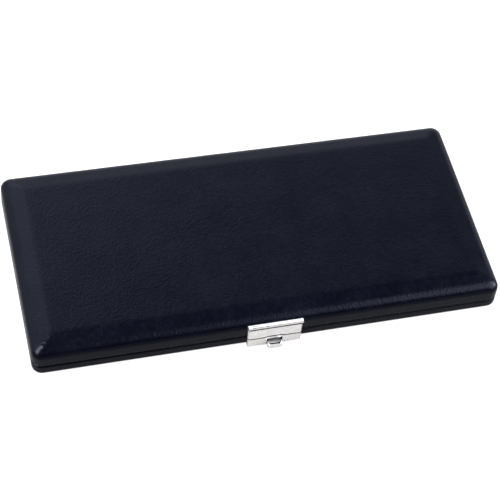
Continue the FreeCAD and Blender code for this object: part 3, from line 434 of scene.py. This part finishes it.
LEATHER_FINISH = leather_finish(
    "black_leather", colour(0.0004, 0.0005, 0.0014), colour(0.0009, 0.0010, 0.0024), 0.25, 1.0
)
BOTTOM_FINISH = leather_finish(
    "bottom_leather", colour(0.0030, 0.0034, 0.0060), colour(0.0060, 0.0065, 0.0100), 0.5, 1.4
)
VELVET_FINISH = velvet_finish("green_velvet", colour(0.002, 0.012, 0.007), colour(0.007, 0.034, 0.020))
NICKEL_FINISH = metal_finish("brushed_nickel", (0.85, 0.825, 0.79), 0.28, shade_reach=2.4 * MM)
STEEL_FINISH = metal_finish("plain_steel", (0.52, 0.52, 0.52), 0.34, (6, 6, 6), 0.3)
HINGE_FINISH = metal_finish("hinge_nickel", (0.74, 0.73, 0.71), 0.24, (1, 12, 12))
WOOD_FINISH = wood_finish()
FELT_FINISH = felt_finish()


def dress(piece, body, slot, finish, *nodes):
    """Gives a new piece its finish and its body, and hides the CAD nodes that it stands for. The slot is
    not used.
    """
    piece.data.materials.clear()
    piece.data.materials.append(finish)
    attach(piece, body)
    if nodes:
        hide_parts(*nodes)


# ---------------------------------------------------------------- lid leather

BEVEL_BULGE = 0.6 * MM


def lid_skin_path():
    """From the middle of the top, out over the bevel, down the rim, round under and back inside."""
    top = lid_high.z
    bottom = lid_low.z
    rise = top - RIM_HEIGHT
    drop = LEATHER * 1.1
    inner_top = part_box("lid_panel")[0].z - GLUE
    return rounded_path(
        [
            (MIDDLE, top, 0),
            (BEVEL_RUN + 3 * MM, top, 14 * MM),
            (BEVEL_RUN * 0.45, RIM_HEIGHT + rise * 0.45 + BEVEL_BULGE, 9 * MM),
            (0, RIM_HEIGHT - 0.1 * MM, 6 * MM),
            (0, bottom, 1.3 * MM),
            (OPENING, bottom, 0.7 * MM),
            (OPENING, inner_top, 0),
            (INNER, inner_top, 0),
            (INNER, bottom + LEATHER, 0),
            (LEATHER, bottom + LEATHER, 0),
            (LEATHER, RIM_HEIGHT - 0.6 * MM, 0),
            (BEVEL_RUN + 0.2 * MM, top - drop, 0),
            (MIDDLE, top - drop, 0),
        ],
        0.6 * MM,
    )


def spread(path, limit, spacing):
    """Thins a path's points to a wider spacing where its inset is past the limit."""
    kept = [path[0]]
    for point in path[1:-1]:
        if point.x < limit or kept[-1].x < limit or (point - kept[-1]).length >= spacing:
            kept.append(point)
    kept.append(path[-1])
    return kept


def hinge_rooms(low, high):
    """The rooms for the hinge leaves in the leather's edge."""
    rooms = []
    for side in ("left", "right"):
        leaf_low, leaf_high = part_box(f"{side}_hinge_base_leaf")
        margin = 0.15 * MM
        rooms.append(
            (
                Vector((leaf_low.x - margin, HALF_DEPTH - INNER + 0.02 * MM, low)),
                Vector((leaf_high.x + margin, HALF_DEPTH + 2 * MM, high)),
            )
        )
    return rooms


def lid_leather():
    path = spread(lid_skin_path(), BEVEL_RUN + 4 * MM, 3 * MM)
    piece = lofted_skin("lid_cover_leather", path, bevel_corner)
    top = lid_high.z

    def outside(place):
        return place.z > RIM_HEIGHT - 4 * MM

    ripple(piece, 0.05 * MM, 17 * MM, 1, outside)
    ripple(piece, 0.02 * MM, 6 * MM, 2, outside)
    for vertex in piece.data.vertices:
        vertex.co.z = min(vertex.co.z, top)
    bottom = lid_low.z
    cut_away(piece, hinge_rooms(bottom - 1 * MM, bottom + LEATHER))
    dress(piece, "lid", "outer_leather", LEATHER_FINISH, "lid_leather")


# ---------------------------------------------------------------- base leather


def base_skin_path():
    """A closed path: under the base, round its bottom edge, up the wall and down inside it."""
    top = base_high.z
    shelf = panel_high.z + GLUE
    cover_edge = HALF_LENGTH - cover_high.x - 0.1 * MM
    return rounded_path(
        [
            (cover_edge, LEATHER, 0),
            (cover_edge, 0, 0),
            (0, 0, BOTTOM_ROUNDING),
            (0, top, 1.2 * MM),
            (OPENING, top, 0.7 * MM),
            (OPENING, shelf, 0),
            (INNER, shelf, 0),
            (INNER, top - LEATHER, 0),
            (LEATHER, top - LEATHER, 0),
            (LEATHER, 2.1 * MM, 0),
            (2.1 * MM, LEATHER, 0),
        ],
        0.6 * MM,
    )


def base_leather():
    piece = lofted_skin("base_cover_leather", base_skin_path(), wall_corner, closed=True)

    def outside(place):
        inset = min(HALF_LENGTH - abs(place.x), HALF_DEPTH - abs(place.y))
        return inset < 0.5 * MM and 3 * MM < place.z < base_high.z - 2 * MM

    ripple(piece, 0.03 * MM, 12 * MM, 3, outside)
    top = base_high.z
    rooms = hinge_rooms(top - LEATHER, top + 1 * MM)
    pin_low, pin_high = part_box("clasp_lever_pin")
    rooms.append(
        (
            Vector((pin_low.x - 0.1 * MM, -HALF_DEPTH - 1 * MM, 2.8 * MM)),
            Vector((pin_high.x + 0.1 * MM, -HALF_DEPTH + 1.4 * MM, top + 1 * MM)),
        )
    )
    cut_away(piece, rooms)
    dress(piece, "base", "outer_leather", LEATHER_FINISH, "base_leather_band")


def bottom_cover():
    """The leather sheet under the case, with a softly pressed edge."""
    inset = HALF_LENGTH - cover_high.x
    path = rounded_path(
        [
            (MIDDLE, 0, 0),
            (inset, 0, 0.35 * MM),
            (inset, cover_high.z, 0),
            (MIDDLE, cover_high.z, 0),
        ],
        0.5 * MM,
    )
    piece = lofted_skin("bottom_cover_leather", spread(path, inset + 2 * MM, 3 * MM), wall_corner)
    dress(piece, "base", "bottom_leather", BOTTOM_FINISH, "base_bottom_cover")


# ---------------------------------------------------------------- lid padding and lining


def lid_padding():
    """The wadding between the lid's board and its leather."""
    foot = HALF_LENGTH - padding_high.x
    head = foot + 2.1 * MM
    path = rounded_path(
        [
            (MIDDLE, padding_low.z, 0),
            (foot, padding_low.z, 0.2 * MM),
            (head, padding_high.z, 0.8 * MM),
            (MIDDLE, padding_high.z, 0),
        ],
        0.6 * MM,
    )
    piece = lofted_skin("lid_wadding", spread(path, head + 2 * MM, 4 * MM), bevel_corner)
    dress(piece, "lid", "padding", FELT_FINISH, "lid_padding")


def lid_lining():
    """Velvet glued into the lid's hollow, turned out over the ledge round it."""
    inset = HALF_LENGTH - lining_high.x
    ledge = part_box("lid_panel")[0].z
    outer = inset - 0.03 * MM
    inner = inset + 0.15 * MM
    turned_out = OPENING + 0.1 * MM
    upper = ledge - 0.02 * MM
    lower = ledge - 0.2 * MM
    path = rounded_path(
        [
            (MIDDLE, lining_high.z, 0),
            (outer, lining_high.z, 0.3 * MM),
            (outer, upper, 0.3 * MM),
            (turned_out, upper, 0),
            (turned_out, lower, 0),
            (inner, lower, 0.25 * MM),
            (inner, lining_low.z, 0.3 * MM),
            (MIDDLE, lining_low.z, 0),
        ],
        0.5 * MM,
    )
    piece = lofted_skin("lid_lining_velvet", spread(path, inset + 2 * MM, 4 * MM), wall_corner)
    dress(piece, "lid", "velvet", VELVET_FINISH, "lid_lining")


QUILT_STEP = 2.8 * MM
QUILT_CELLS = 10
SEAM_DEPTH = 0.75 * MM
CLOTH_FRAMES = 25


def lid_cushion():
    """A quilted velvet pad: pinned along its diamond seams and left to sag between them."""
    margin = 0.3 * MM
    low = cushion_low + Vector((margin, margin, 0))
    high = cushion_high - Vector((margin, margin, 0))
    across = round((high.x - low.x) / QUILT_STEP / QUILT_CELLS) * QUILT_CELLS
    deep = round((high.y - low.y) / QUILT_STEP / QUILT_CELLS) * QUILT_CELLS
    seam_height = high.z - SEAM_DEPTH
    mesh = bmesh.new()
    grid = {}
    for i in range(across + 1):
        for j in range(deep + 1):
            x = low.x + (high.x - low.x) * i / across
            y = low.y + (high.y - low.y) * j / deep
            grid[i, j] = mesh.verts.new((x, y, seam_height))
    for i in range(across):
        for j in range(deep):
            mesh.faces.new((grid[i, j], grid[i, j + 1], grid[i + 1, j + 1], grid[i + 1, j]))
    seams = set()
    for (i, j), vertex in grid.items():
        on_seam = (i + j) % QUILT_CELLS == 0 or (i - j) % QUILT_CELLS == 0
        if on_seam or i in (0, across) or j in (0, deep):
            seams.add(tuple(round(c, 7) for c in vertex.co))
    piece = finished("lid_quilted_cushion", mesh)
    pins = piece.vertex_groups.new(name="seams")
    held = [v.index for v in piece.data.vertices if tuple(round(c, 7) for c in v.co) in seams]
    pins.add(held, 1.0, "REPLACE")
    sag(piece, pins.name, cushion_low.z)
    piece.vertex_groups.clear()
    smoother = piece.modifiers.new("smoother", "SUBSURF")
    smoother.levels = 1
    apply_modifiers(piece)
    close_back(piece, high.z)
    for vertex in piece.data.vertices:
        vertex.co.z = max(vertex.co.z, cushion_low.z)
    dress(piece, "lid", "velvet", VELVET_FINISH, "lid_cushion")


def close_back(piece, height):
    """Carries the sheet's border up to the height and closes it there."""
    mesh = bmesh.new()
    mesh.from_mesh(piece.data)
    border = [edge for edge in mesh.edges if edge.is_boundary]
    raised = bmesh.ops.extrude_edge_only(mesh, edges=border)["geom"]
    for vertex in raised:
        if isinstance(vertex, bmesh.types.BMVert):
            vertex.co.z = height
    top = [edge for edge in raised if isinstance(edge, bmesh.types.BMEdge) and edge.is_boundary]
    bmesh.ops.contextual_create(mesh, geom=top)
    bmesh.ops.recalc_face_normals(mesh, faces=mesh.faces)
    for face in mesh.faces:
        face.smooth = True
    mesh.to_mesh(piece.data)
    mesh.free()


def sag(piece, pins, floor):
    """Lets the cloth sink between its pins, to no lower than the floor."""
    cloth = piece.modifiers.new("cloth", "CLOTH")
    settings = cloth.settings
    settings.quality = 6
    settings.mass = 0.2
    settings.tension_stiffness = 2
    settings.compression_stiffness = 2
    settings.shear_stiffness = 1
    settings.bending_stiffness = 0.02
    settings.shrink_min = -0.06
    settings.vertex_group_mass = pins
    cloth.collision_settings.use_self_collision = False
    cloth.point_cache.frame_start = 1
    cloth.point_cache.frame_end = CLOTH_FRAMES
    for step in range(1, CLOTH_FRAMES + 1):
        bpy.context.scene.frame_set(step)
    apply_modifiers(piece)
    bpy.context.scene.frame_set(1)
    for vertex in piece.data.vertices:
        vertex.co.z = max(vertex.co.z, floor)


# ---------------------------------------------------------------- carried-over CAD nodes

BOARDS = ["base_panel", "lid_panel"]
BOARDS += [f"{half}_{side}_rail" for half in ("base", "lid") for side in ("front", "back", "left", "right")]
TRAY = ["tray_floor", "tray_front_wall", "tray_back_wall", "tray_end_walls"]
TRAY += ["tray_long_dividers", "tray_cross_dividers"]
CLASP = ["lid_clasp_plate", "base_clasp_plate", "clasp_lever"]
STEEL = ["lid_clasp_keeper", "clasp_lever_pin", "clasp_spring", "lid_clasp_rivets", "base_clasp_rivets"]
STEEL += ["base_hinge_screws", "lid_hinge_screws"]
HINGES = [f"{side}_hinge_{part}" for side in ("left", "right") for part in ("base_leaf", "lid_leaf", "pin")]


def finish_nodes(names, finish, softened):
    """Gives CAD nodes their finish and softens their sharp edges by that width."""
    for name in names:
        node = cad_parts[name]
        node.data.materials.clear()
        node.data.materials.append(finish)
        bevel = node.modifiers.new("edges", "BEVEL")
        bevel.width = softened
        bevel.segments = 3
        bevel.limit_method = "ANGLE"
        bevel.angle_limit = math.radians(40)
        bevel.harden_normals = False


# ---------------------------------------------------------------- floor, light and camera

CAMERA_LENS = 122.83
CAMERA_ELEVATION = math.radians(51.49)
CAMERA_TURN = math.radians(-24.44)
CAMERA_ROLL = math.radians(11.605)
CAMERA_DISTANCE = 1.1892
CAMERA_AIM = Vector((0.0815, -0.0221, 0.0123))
CAMERA_SHIFT = -0.24


def camera():
    """The view: from the front left, looking down, with the case's front edge rising to the right."""
    data = bpy.data.cameras.new("camera")
    data.lens = CAMERA_LENS
    data.sensor_width = 36
    data.shift_x = CAMERA_SHIFT
    made = bpy.data.objects.new("camera", data)
    level = Matrix.Rotation(CAMERA_TURN, 4, "Z") @ Matrix.Rotation(math.pi / 2 - CAMERA_ELEVATION, 4, "X")
    turned = level @ Matrix.Rotation(CAMERA_ROLL, 4, "Z")
    backwards = turned.to_3x3() @ Vector((0, 0, 1))
    made.matrix_world = Matrix.Translation(CAMERA_AIM + backwards * CAMERA_DISTANCE) @ turned
    bpy.context.scene.collection.objects.link(made)
    bpy.context.scene.camera = made


FLOOR_GLOW_SEEN = 0.80
FLOOR_GLOW_ALONE = 0.13
FLOOR_DROP = 0.2 * MM


def studio_floor():
    """A plain table top. Its glow makes it white to the camera and adds only a little to the case."""
    mesh = bmesh.new()
    bmesh.ops.create_grid(mesh, x_segments=1, y_segments=1, size=3.0)
    floor = finished("studio_floor", mesh)
    floor.location.z = -FLOOR_DROP
    finish = Finish("white_table")
    finish.set(Base_Color=colour(0.168, 0.162, 0.150), Roughness=0.9)
    seen = finish.nodes.new("ShaderNodeLightPath").outputs["Is Camera Ray"]
    glow = finish.span(seen, 0, 1, FLOOR_GLOW_ALONE, FLOOR_GLOW_SEEN)
    finish.set(Specular_IOR_Level=0.0, Emission_Color=colour(0.97, 0.98, 1.0), Emission_Strength=glow)
    floor.data.materials.append(finish.material)


ROOM_TINT = (0.93, 0.96, 1.10)

# height in the room, from the horizon at 0 to straight overhead at 1, and the light that comes from there
ROOM_LEVELS = [(0.0, 1.5), (0.30, 1.6), (0.60, 2.1), (0.70, 2.0), (0.775, 0.5), (0.87, 0.12), (1.0, 0.03)]
FRONT_LEVEL = 0.04
CURTAIN_LEVEL = 0.35
OVERHEAD_POWER = 16
OVERHEAD_WIDTH = 1.2
OVERHEAD_HEIGHT = 1.6

# direction from the case, soft edge and full edge in degrees from the middle, strength
LAMPS = [
    ((-0.14, 0.70, 0.69), 20, 6, 3.0),
    ((0.91, -0.06, 0.41), 10, 5, 60.0),
    ((0.68, -0.36, 0.64), 33, 22, 9.0),
    ((-0.75, 0.15, 0.64), 34, 12, 1.6),
    ((-0.35, 0.15, 0.92), 12, 6, 36.0),
    ((-0.60, -0.10, 0.80), 12, 6, 36.0),
    ((-0.74, -0.24, 0.62), 12, 6, 36.0),
]


def lamp(room, direction, soft_edge, full_edge, strength):
    """A soft round light in the room's walls: its edges are angles from its middle, in degrees."""
    near = room.nodes.new("ShaderNodeVectorMath")
    near.operation = "DOT_PRODUCT"
    room.links.new(room.place, near.inputs[0])
    near.inputs[1].default_value = Vector(direction).normalized()
    outer = math.cos(math.radians(soft_edge))
    inner = math.cos(math.radians(full_edge))
    return room.span(near.outputs["Value"], outer, inner, 0.0, strength, soft=True)


def walls(room, across, deep, up):
    """The room's own light: its level by height, dimmed in front and by a curtain on the right."""
    ramp = room.nodes.new("ShaderNodeValToRGB")
    room.links.new(up, ramp.inputs["Fac"])
    while len(ramp.color_ramp.elements) < len(ROOM_LEVELS):
        ramp.color_ramp.elements.new(0.5)
    for element, (place, level) in zip(ramp.color_ramp.elements, ROOM_LEVELS):
        element.position = place
        element.color = colour(level, level, level)
    front = room.span(deep, -0.15, 0.25, FRONT_LEVEL, 1.0, soft=True)
    right = room.span(across, 0.30, 0.60, soft=True)
    raised = room.span(up, 0.20, 0.45, soft=True)
    curtain = room.span(room.math("MULTIPLY", right, raised), 0, 1, 1.0, CURTAIN_LEVEL)
    return room.math("MULTIPLY", room.math("MULTIPLY", ramp.outputs["Color"], front), curtain)


def studio_room():
    """A pale room, dark overhead and in front, with large soft lamps in its walls."""
    world = bpy.data.worlds.new("studio")
    world.use_nodes = True
    room = Patterns(world.node_tree, "Generated")
    split = room.nodes.new("ShaderNodeSeparateXYZ")
    room.links.new(room.place, split.inputs[0])
    light = walls(room, split.outputs["X"], split.outputs["Y"], split.outputs["Z"])
    for direction, soft_edge, full_edge, strength in LAMPS:
        light = room.math("ADD", light, lamp(room, direction, soft_edge, full_edge, strength))
    tinted = room.nodes.new("ShaderNodeVectorMath")
    tinted.operation = "SCALE"
    tinted.inputs[0].default_value = ROOM_TINT
    room.links.new(light, tinted.inputs["Scale"])
    room.links.new(tinted.outputs["Vector"], room.nodes["Background"].inputs["Color"])
    bpy.context.scene.world = world


def overhead_lamp():
    """A wide soft lamp over the table; shiny surfaces don't mirror it."""
    data = bpy.data.lights.new("overhead", "AREA")
    data.size = OVERHEAD_WIDTH
    data.energy = OVERHEAD_POWER
    made = bpy.data.objects.new("overhead", data)
    made.location.z = OVERHEAD_HEIGHT
    made.visible_glossy = False
    bpy.context.scene.collection.objects.link(made)


scene = bpy.context.scene
scene.view_settings.view_transform = "Standard"
scene.cycles.use_denoising = True

lid_leather()
base_leather()
bottom_cover()
lid_padding()
lid_lining()
lid_cushion()
finish_nodes(BOARDS, WOOD_FINISH, 1.0 * MM)
finish_nodes(TRAY, VELVET_FINISH, 0.35 * MM)
finish_nodes(CLASP, NICKEL_FINISH, 0.14 * MM)
finish_nodes(STEEL, STEEL_FINISH, 0.05 * MM)
finish_nodes(HINGES, HINGE_FINISH, 0.08 * MM)
studio_floor()
studio_room()
overhead_lamp()
camera()
